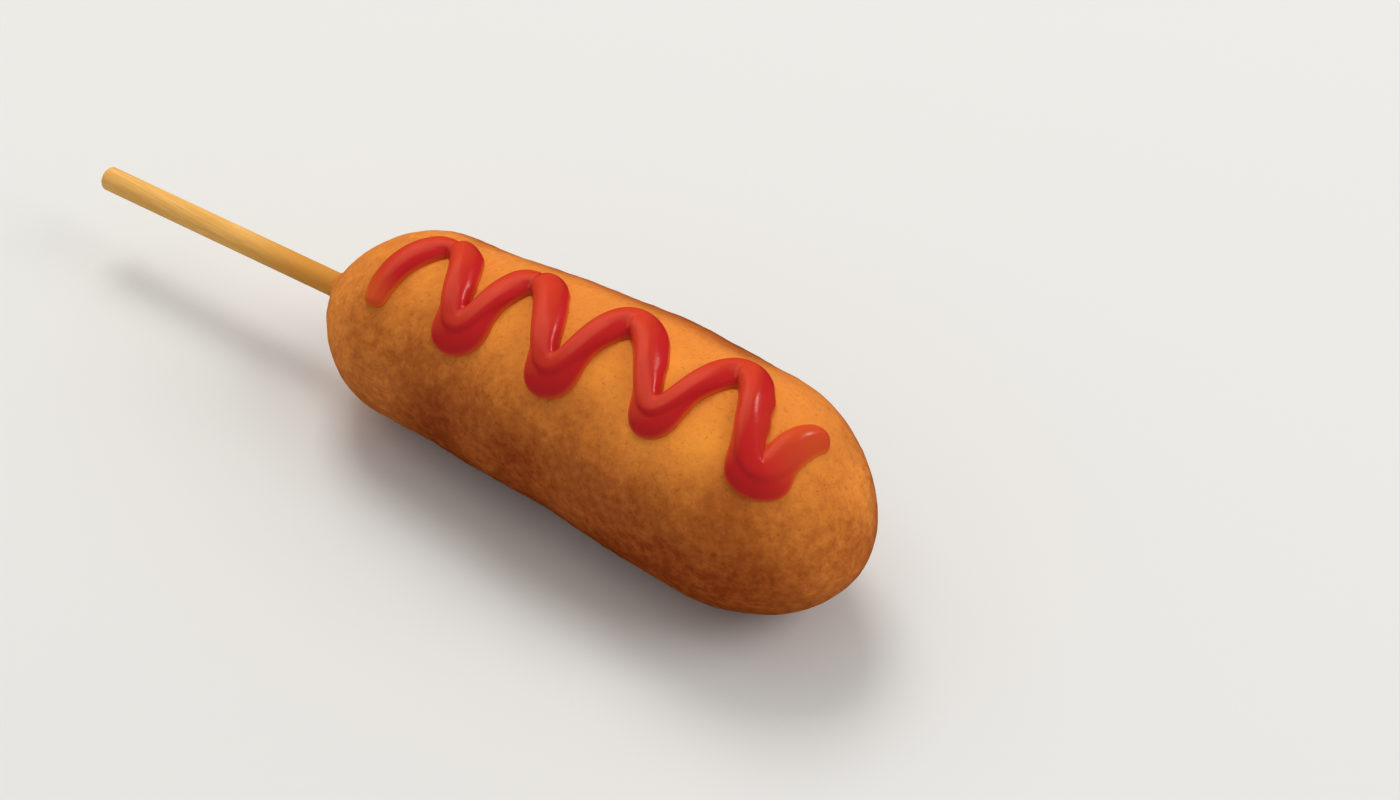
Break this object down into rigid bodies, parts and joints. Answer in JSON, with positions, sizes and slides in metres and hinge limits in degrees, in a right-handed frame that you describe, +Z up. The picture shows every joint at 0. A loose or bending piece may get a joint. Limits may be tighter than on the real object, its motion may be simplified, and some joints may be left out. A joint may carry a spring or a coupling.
{
  "type": "corn dog",
  "caption": "Corn dog lying on its side: a frankfurter in a golden-brown fried cornmeal batter, on a round wooden stick, with a thick zigzag line of ketchup along the top.",
  "frame": {"origin": "on the surface the corn dog lies on, under the middle of its whole length and width, stick included", "axes": "+X from the stick's free end to the body's rounded tip, +Z up to the side with the ketchup, and -Y the side that the ketchup's low turns hang down"},
  "size_m": [0.1821, 0.0437, 0.0452],
  "materials": {
    "batter": "golden-brown fried cornmeal batter, satin, with fine grain and darker speckles",
    "ketchup": "thick glossy ketchup",
    "stick_wood": "smooth plain pale wood with fine grain along the stick"
  },
  "bodies": {
    "root": {"corn_dog": "batter", "stick": "stick_wood"}
  },
  "joints": []
}
